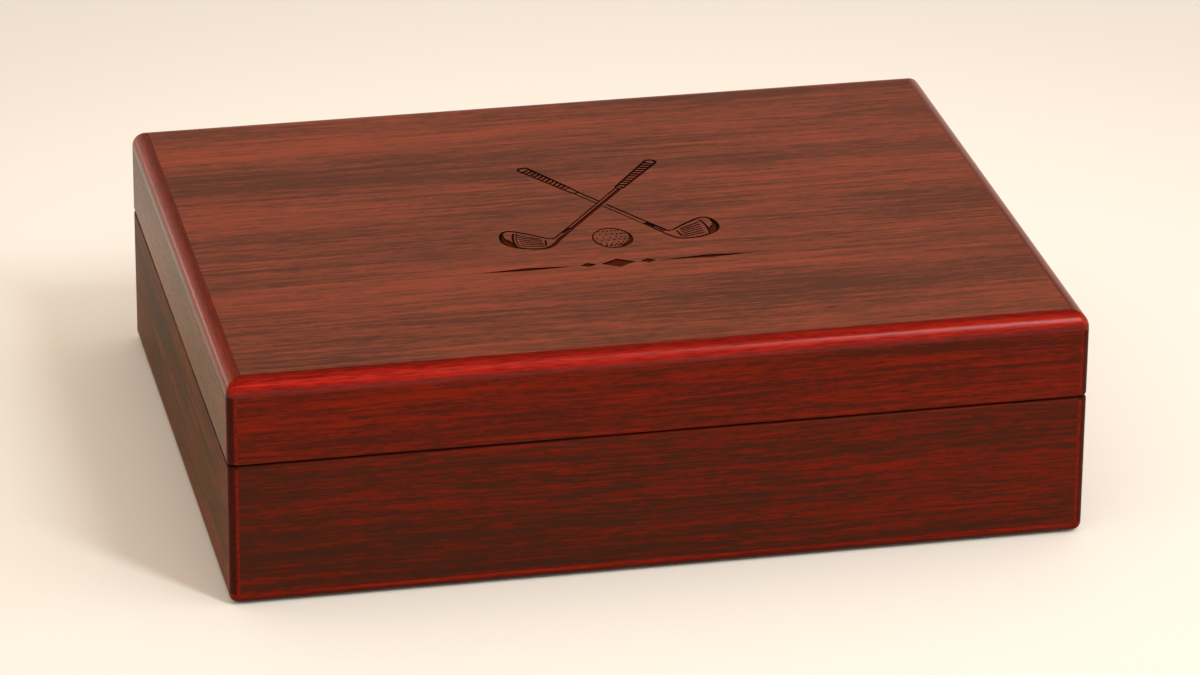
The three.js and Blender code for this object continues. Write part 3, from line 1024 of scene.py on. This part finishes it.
def polished_brass(name, shift):
    """Brass polished along its length, with fine scratches and faint patches of tarnish."""
    made, shader, wire = material(name, Metallic=1.0)
    place = moved_place(wire, shift)
    scratches = wire.noise(place, scratch_size, 2.0, 0.6)
    tarnish = wire.noise(place, tarnish_size, 3.0, 0.6)
    plug(
        shader,
        Base_Color=tarnish.between(0.3, 0.62).mixed(*brass_colors),
        Roughness=0.20 + scratches * 0.16 + (1 - tarnish.between(0.3, 0.6)) * 0.14,
        Normal=wire.bump(scratches, strength=0.15, distance=0.02 * mm),
    )
    return made


hinge_brass = polished_brass("brass_hinge", (0.0, 0.0, 0.0))
for side in ("left", "right"):
    for half in ("base", "lid"):
        dress(f"hinge_{side}_{half}_leaf", hinge_brass, leaf_edge)
    dress(f"hinge_{side}_pin", hinge_brass, pin_edge)


# Hinge screws
# Eight small countersunk brass screws hold the leaves, two in each, sunk flush with the rim.
# They are driven by hand, so each slot has stopped at its own angle.
head_depth = 0.9 * mm
shank_radius = 0.9 * mm
tip_radius = 0.05 * mm
slot_width = 0.45 * mm
slot_depth = 0.40 * mm
overlap = 0.02 * mm


def grown(piece, tree, values):
    """Runs a tree on a piece with values for its named inputs, and keeps the result as a plain mesh."""
    modifier = piece.modifiers.new("grown", "NODES")
    modifier.node_group = tree
    for item in tree.interface.items_tree:
        if item.in_out == "INPUT" and item.name in values:
            modifier[item.identifier] = values[item.name]
    depsgraph = bpy.context.evaluated_depsgraph_get()
    data = bpy.data.meshes.new_from_object(piece.evaluated_get(depsgraph))
    data.name = piece.name
    piece.modifiers.remove(modifier)
    piece.data = data
    return piece


def realized(last, finish):
    """Ends a tree: its instances are made real and take their finish."""
    whole = last.node("GeometryNodeRealizeInstances", None, {"Geometry": last})
    return ended_tree(last.node("GeometryNodeSetMaterial", None, {"Geometry": whole, "Material": finish}))


def screw_tree(finish, facets=24):
    """A countersunk, slotted screw on every point, its head up, or down where Facing Down is 1."""
    given = new_tree("slotted_screws", {
        "Head Radius": "Float",
        "Head Depth": "Float",
        "Shank Radius": "Float",
        "Length": "Float",
        "Slot Width": "Float",
        "Slot Depth": "Float",
        "Facing Down": "Float",
        "Seed": "Int",
    })
    points = given["Geometry"]

    def cone(low, high, low_radius, high_radius):
        shape = points.node("GeometryNodeMeshCone", {"fill_type": "NGON"}, {
            "Vertices": facets,
            "Radius Top": high_radius,
            "Radius Bottom": low_radius,
            "Depth": high - low,
        })
        place = points.node("ShaderNodeCombineXYZ", None, {"Z": low})
        return points.node("GeometryNodeTransform", None, {"Geometry": shape, "Translation": place})

    shank_top = given["Head Depth"] * -1.0
    tip = given["Length"] * -1.0
    point_top = tip + given["Shank Radius"] * 2.0
    narrower = given["Shank Radius"] * 0.98
    head = cone(shank_top, 0.0, given["Shank Radius"], given["Head Radius"])
    shank = cone(point_top - overlap, shank_top + overlap, narrower, narrower)
    point = cone(tip, point_top, tip_radius, given["Shank Radius"])
    solid = points.node("GeometryNodeMeshBoolean", {"operation": "UNION", "solver": "EXACT"})
    for part in (head, shank, point):
        solid.tree.links.new(part.socket, solid.socket.node.inputs[1])
    slot_size = points.node("ShaderNodeCombineXYZ", None, {
        "X": given["Head Radius"] * 3.0,
        "Y": given["Slot Width"],
        "Z": given["Slot Depth"] * 2.0,
    })
    slotted = points.node("GeometryNodeMeshBoolean", {"operation": "DIFFERENCE", "solver": "EXACT"}, {
        "Mesh 1": solid,
        "Mesh 2": points.node("GeometryNodeMeshCube", None, {"Size": slot_size}),
    })
    angle = points.node("FunctionNodeRandomValue", {"data_type": "FLOAT"}, {
        2: 0.0,
        3: pi,
        "Seed": given["Seed"],
    }, 1)
    screws = points.node("GeometryNodeInstanceOnPoints", None, {
        "Points": points,
        "Instance": slotted,
        "Rotation": points.node("ShaderNodeCombineXYZ", None, {"X": given["Facing Down"] * pi, "Z": angle}),
    })
    return realized(screws, finish)


screws = screw_tree(polished_brass("brass_screw", (0.07, 0.0, 0.0)))
for half, facing_down, seed in (("base", 0.0, 8), ("lid", 1.0, 3)):
    nodes = [
        f"hinge_{side}_{half}_screw_{place}"
        for side in ("left", "right")
        for place in ("left", "right")
    ]
    heads = []
    for node in nodes:
        low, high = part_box(node)
        heads.append(((low.x + high.x) / 2, (low.y + high.y) / 2, low.z if facing_down else high.z))
    data = bpy.data.meshes.new(f"hinge_screws_{half}")
    data.from_pydata(heads, [], [])
    piece = grown(put(data), screws, {
        "Head Radius": (high.x - low.x) / 2,
        "Head Depth": head_depth,
        "Shank Radius": shank_radius,
        "Length": high.z - low.z,
        "Slot Width": slot_width,
        "Slot Depth": slot_depth,
        "Facing Down": facing_down,
        "Seed": seed,
    })
    stands_for(piece, "brass", *nodes)


# Velvet linings
# Thin boards wrapped in black velvet are glued to the inner faces of the walls, a little below
# the rims. Their edges and ends are rounded where the velvet turns round the board.
velvet_colors = ((0.0045, 0.0038, 0.0036, 1), (0.0150, 0.0125, 0.0115, 1))
wrap_radius = 0.5 * mm
least_radius = 0.05 * mm
wrap_steps = 5
velvet = napped("velvet", velvet_colors, fibre=0.35 * mm, nap_depth=0.10 * mm, sheen=0.28)


def wrapped_board(node, finish):
    """A board whose every edge is rounded, as loops of its section from one end to the other."""
    low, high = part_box(node)
    size, middle = high - low, (low + high) / 2
    along_x = size.x > size.y
    length, thickness = max(size.x, size.y), min(size.x, size.y)
    radius = min(wrap_radius, thickness * 0.45)
    end = quarter_turn(radius, wrap_steps)
    loops = []
    for place, inset in end + [(length - place, inset) for place, inset in reversed(end)]:
        corner = max(radius - inset, least_radius)
        section = round_cornered(thickness / 2 - inset, size.z / 2 - inset, corner, wrap_steps)
        if along_x:
            loops.append([(low.x + place, middle.y + t, middle.z + h) for t, h in section])
        else:
            loops.append([(middle.x + t, low.y + place, middle.z + h) for t, h in section])
    return skinned(f"{node}_velvet", loops, finish)


for half in ("base", "lid"):
    for side in sides:
        node = f"{half}_lining_{side}"
        stands_for(wrapped_board(node, velvet), "velvet_lining", node)


# Pad under the balls and the foam insert
# A thin velvet pad lies on the floor, pressed flat under the foam and crowned inside each pocket.
# The insert is one block of black foam, flocked like velvet, with a round-edged pocket for each ball.
columns, rows = 4, 3
rim_radius = 1.2 * mm
pocket_radius = 22.1 * mm
tray_low, tray_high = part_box("ball_insert")
cell_width = (tray_high.x - tray_low.x) / columns
cell_depth = (tray_high.y - tray_low.y) / rows
pad_press = 0.35 * mm
pad_cells = 8


def pocket_middle(x, y):
    """The middle of the pocket whose cell a point is in."""
    column = min(columns - 1, max(0, int((x - tray_low.x) / cell_width)))
    row = min(rows - 1, max(0, int((y - tray_low.y) / cell_depth)))
    return tray_low.x + cell_width * (column + 0.5), tray_low.y + cell_depth * (row + 0.5)


def closed_grid(name, across, deep, place, finish):
    """A thin closed pad of even cells. Place gives a point from its column, row and layer, 0 or 1."""
    points = [place(i, j, layer) for layer in (0, 1) for j in range(deep + 1) for i in range(across + 1)]
    row_length, layer_length = across + 1, (across + 1) * (deep + 1)
    faces = []
    for j in range(deep):
        for i in range(across):
            a = j * row_length + i
            quad = (a, a + 1, a + 1 + row_length, a + row_length)
            faces += [quad, tuple(p + layer_length for p in quad)]
    rim = list(range(across))
    rim += [across + j * row_length for j in range(deep)]
    rim += [deep * row_length + i for i in range(across, 0, -1)]
    rim += [j * row_length for j in range(deep, 0, -1)]
    for a, b in zip(rim, rim[1:] + rim[:1]):
        faces.append((a, b, b + layer_length, a + layer_length))
    return mesh_piece(name, points, faces, finish)


def floor_pad(node, finish):
    """A pad over the floor whose top swells in each pocket and is pressed down along its edges."""
    low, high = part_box(node)
    across, deep = columns * pad_cells * 2, rows * pad_cells * 2

    def place(i, j, layer):
        x = low.x + (high.x - low.x) * i / across
        y = low.y + (high.y - low.y) * j / deep
        middle_x, middle_y = pocket_middle(x, y)
        out = min(1.0, hypot(x - middle_x, y - middle_y) / pocket_radius)
        swell = pad_press * (1 - out ** 2) ** 2
        press = pad_press * 2 if i in (0, across) or j in (0, deep) else pad_press
        return x, y, high.z - press + swell if layer else low.z

    return closed_grid(f"{node}_velvet", across, deep, place, finish)


pad = floor_pad("insert_floor_pad", velvet)
stands_for(pad, "velvet_lining", "insert_floor_pad")


def pocket_cell(name, steps=12, turns=6):
    """One cell of the tray about the origin: the top, the rounded mouth, the bore and the underside."""
    half_x, half_y = cell_width / 2, cell_depth / 2
    shares = [2 * i / steps - 1 for i in range(steps)]
    border = [(half_x, half_y * share) for share in shares]
    border += [(-half_x * share, half_y) for share in shares]
    border += [(-half_x, -half_y * share) for share in shares]
    border += [(half_x * share, -half_y) for share in shares]
    levels = [(pocket_radius + out, tray_high.z - drop) for drop, out in quarter_turn(rim_radius, turns)]
    levels.append((pocket_radius, tray_low.z))
    rings = [[(x, y, tray_high.z) for x, y in border]]
    for radius, z in levels:
        rings.append([(radius * x / hypot(x, y), radius * y / hypot(x, y), z) for x, y in border])
    rings.append([(x, y, tray_low.z) for x, y in border])
    data = bpy.data.meshes.new(name)
    data.from_pydata([point for ring in rings for point in ring], [], faces_between(rings))
    return put(data)


def tray_tree(finish, closest=0.01 * mm):
    """Cells side by side in columns and rows, joined, with a wall drawn down round the outside."""
    given = new_tree("ball_tray", {
        "Columns": "Int",
        "Rows": "Int",
        "Cell Width": "Float",
        "Cell Depth": "Float",
        "Height": "Float",
        "Middle": "Float",
    })
    cell = given["Geometry"]

    def merged(shape):
        return cell.node("GeometryNodeMergeByDistance", None, {"Geometry": shape, "Distance": closest})

    places = cell.node("GeometryNodeMeshGrid", None, {
        "Size X": (given["Columns"] - 1.0) * given["Cell Width"],
        "Size Y": (given["Rows"] - 1.0) * given["Cell Depth"],
        "Vertices X": given["Columns"],
        "Vertices Y": given["Rows"],
    })
    cells = cell.node("GeometryNodeInstanceOnPoints", None, {"Points": places, "Instance": cell})
    block = merged(cell.node("GeometryNodeRealizeInstances", None, {"Geometry": cells}))
    neighbours = cell.node("GeometryNodeInputMeshEdgeNeighbors")
    open_edge = cell.node("FunctionNodeCompare", {"data_type": "INT", "operation": "EQUAL"}, {
        2: neighbours,
        3: 1,
    })
    level = cell.node("ShaderNodeSeparateXYZ", None, {0: cell.node("GeometryNodeInputPosition")}, "Z")
    above = cell.math("GREATER_THAN", level, given["Middle"])
    walled = cell.node("GeometryNodeExtrudeMesh", {"mode": "EDGES"}, {
        "Mesh": block,
        "Selection": cell.node("FunctionNodeBooleanMath", {"operation": "AND"}, {0: open_edge, 1: above}),
        "Offset": cell.node("ShaderNodeCombineXYZ", None, {"Z": given["Height"] * -1.0}),
    })
    return realized(merged(walled), finish)


def outwards(piece):
    """Turns every face of a closed piece outwards, and marks its sharp edges."""
    shape = bmesh.new()
    shape.from_mesh(piece.data)
    bmesh.ops.recalc_face_normals(shape, faces=shape.faces)
    shape.to_mesh(piece.data)
    shape.free()
    piece.data.shade_smooth()
    piece.data.set_sharp_from_angle(angle=round_angle)


flock_colors = ((0.0060, 0.0052, 0.0050, 1), (0.0190, 0.0165, 0.0155, 1))
flock = napped("flocked_foam", flock_colors, fibre=0.5 * mm, nap_depth=0.16 * mm, sheen=0.35)
tray = grown(pocket_cell("ball_tray"), tray_tree(flock), {
    "Columns": columns,
    "Rows": rows,
    "Cell Width": cell_width,
    "Cell Depth": cell_depth,
    "Height": tray_high.z - tray_low.z,
    "Middle": (tray_high.z + tray_low.z) / 2,
})
outwards(tray)
stands_for(tray, "flocked_foam", "ball_insert")


# Pad in the lid
# A flat cushion of velvet over thin wadding is glued up inside the lid, and keeps the balls still.
# Its velvet is cut a little large, so it puffs in the middle and puckers along its glued edge.
pad_start = 1.3 * mm
pad_inset = 0.6 * mm
puff_limit = 1.5 * mm
pad_cell = 4 * mm
glue_margin = 0.01 * mm
cloth_steps = 20


def lid_pad(node, finish):
    """A closed flat pad of even cells with round corners. Its upper layer is the glued one."""
    low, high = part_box(node)
    across = ceil((high.x - low.x) / pad_cell)
    deep = ceil((high.y - low.y) / pad_cell)
    middle = (low + high) / 2
    reach_x, reach_y = (high.x - low.x) / 2 - pad_inset, (high.y - low.y) / 2 - pad_inset

    def place(i, j, layer):
        x, y = reach_x * (2 * i / across - 1), reach_y * (2 * j / deep - 1)
        over_x, over_y = abs(x) - reach_x + pad_cell, abs(y) - reach_y + pad_cell
        if over_x > 0 and over_y > 0:
            pull = 1 - max(over_x, over_y) / hypot(over_x, over_y)
            x -= pull * over_x * (1 if x > 0 else -1)
            y -= pull * over_y * (1 if y > 0 else -1)
        return middle.x + x, middle.y + y, high.z if layer else high.z - pad_start

    return closed_grid(f"{node}_velvet", across, deep, place, finish)


def puffed(piece, glued_level, lowest):
    """Fills the pad like a cushion: its cloth is a little large, and its glued layer stays still."""
    start = [v.co.copy() for v in piece.data.vertices]
    glued = piece.vertex_groups.new(name="glued")
    glued.add([i for i, p in enumerate(start) if p.z > glued_level - glue_margin], 1.0, "REPLACE")
    cloth = piece.modifiers.new("cloth", "CLOTH")
    settings = cloth.settings
    settings.quality = 5
    settings.mass = 0.2
    settings.tension_stiffness = 15
    settings.compression_stiffness = 15
    settings.shear_stiffness = 5
    settings.bending_stiffness = 0.4
    settings.shrink_min = -0.03
    settings.use_pressure = True
    settings.uniform_pressure_force = 4.0
    settings.vertex_group_mass = "glued"
    settings.effector_weights.gravity = 0.0
    cloth.point_cache.frame_start = 1
    cloth.point_cache.frame_end = cloth_steps
    for step in range(1, cloth_steps + 1):
        bpy.context.scene.frame_set(step)
    depsgraph = bpy.context.evaluated_depsgraph_get()
    moved = [v.co.copy() for v in piece.evaluated_get(depsgraph).data.vertices]
    piece.modifiers.remove(cloth)
    bpy.context.scene.frame_set(1)
    for vertex, was, now in zip(piece.data.vertices, start, moved):
        shift = now - was
        if shift.length > puff_limit:
            shift *= puff_limit / shift.length
        vertex.co = was + shift
        vertex.co.z = max(lowest, vertex.co.z)
    piece.vertex_groups.clear()


pad = lid_pad("lid_lining_pad", velvet)
pad_low, pad_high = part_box("lid_lining_pad")
puffed(pad, pad_high.z, pad_low.z)
softened = pad.modifiers.new("softened", "SUBSURF")
softened.levels = softened.render_levels = 1
stands_for(pad, "velvet_lining", "lid_lining_pad")


# Floor and light
# A pale table with a painted pool of light round the box. A broad soft lamp stands far to the right,
# a tall narrow one nearer in front and a small warm one low behind on the left, and the pale room
# lights the box from all round.
table_size = 8.0
# The pale near tones fading to a darker far tone paint a pool of light round the box: painted light.
painted_pool_tones = ((0.968, 0.942, 0.915, 1), (0.980, 0.956, 0.930, 1))
beyond_pool_tone = (0.755, 0.732, 0.732, 1)
table_near, table_far = 0.12, 0.42
table_tooth = 1.2 * mm
room_color = (1.0, 0.845, 0.68, 1)
room_strength = 0.88
backdrop_color = (0.94, 0.86, 0.75, 1)
ceiling_color = (0.035, 0.026, 0.018, 1)
backdrop_top, ceiling_start = 0.12, 0.50


def table_top():
    """A matt table with a painted pool of light: paler round the box than further off."""
    bpy.ops.mesh.primitive_plane_add(size=table_size)
    ground = bpy.context.object
    ground.name = "table"
    made, shader, wire = material("table_top", Specular_IOR_Level=0.1, Roughness=0.9)
    place = moved_place(wire)
    tooth = wire.noise(place, (table_tooth, table_tooth, table_tooth), 3.0, 0.6)
    away = wire.node("ShaderNodeVectorMath", {"operation": "LENGTH"}, {0: place}, "Value")
    painted_pool_tone = tooth.between(0.3, 0.7).mixed(*painted_pool_tones)
    plug(
        shader,
        Base_Color=away.between(table_near, table_far).mixed(painted_pool_tone, beyond_pool_tone),
        Normal=wire.bump(tooth, strength=0.15, distance=0.1 * mm),
    )
    ground.data.materials.append(made)


def lamp(name, place, size, power, color):
    """A soft oblong lamp, aimed at the box."""
    data = bpy.data.lights.new(name, "AREA")
    data.shape = "RECTANGLE"
    data.size, data.size_y = size
    data.energy = power
    data.color = color
    held = put(data)
    held.location = place
    held.rotation_mode = "QUATERNION"
    held.rotation_quaternion = (aim - Vector(place)).to_track_quat("-Z", "Y")


def room():
    """Soft light from all round. What looks straight at it, or shines, sees a pale backdrop under
    a dimmer ceiling."""
    world = bpy.data.worlds.new("room")
    bpy.context.scene.world = world
    world.use_nodes = True
    tree = world.node_tree
    light = tree.nodes["Background"]
    light.inputs["Color"].default_value = room_color
    light.inputs["Strength"].default_value = room_strength
    wire = Wire(tree)
    kinds = [wire.node("ShaderNodeLightPath", None, None, f"Is {kind} Ray") for kind in (
        "Camera",
        "Glossy",
        "Transmission",
    )]
    seen = wire.math("MAXIMUM", wire.math("MAXIMUM", kinds[0], kinds[1]), kinds[2])
    way = wire.node("ShaderNodeTexCoord", None, None, "Generated")
    height = wire.node("ShaderNodeSeparateXYZ", None, {0: way}, "Z")
    pale = height.between(backdrop_top, ceiling_start).mixed(backdrop_color, ceiling_color)
    backdrop = wire.node("ShaderNodeBackground", None, {"Color": pale, "Strength": 1.0})
    both = wire.node("ShaderNodeMixShader", None, {
        0: seen,
        1: Wire(tree, light.outputs[0]),
        2: backdrop,
    })
    tree.links.new(both.socket, tree.nodes["World Output"].inputs["Surface"])


table_top()
lamp("side_lamp", place=(2.45, -0.85, 1.50), size=(2.6, 2.2), power=21.5, color=(0.90, 0.93, 1.0))
lamp("front_lamp", place=(0.88, -1.38, 1.78), size=(0.26, 1.00), power=21, color=(0.92, 0.93, 0.87))
lamp("window", place=(-1.05, 1.70, 0.00), size=(0.45, 0.25), power=1.6, color=(1.0, 0.80, 0.62))
room()
bpy.context.scene.view_settings.view_transform = "Standard"
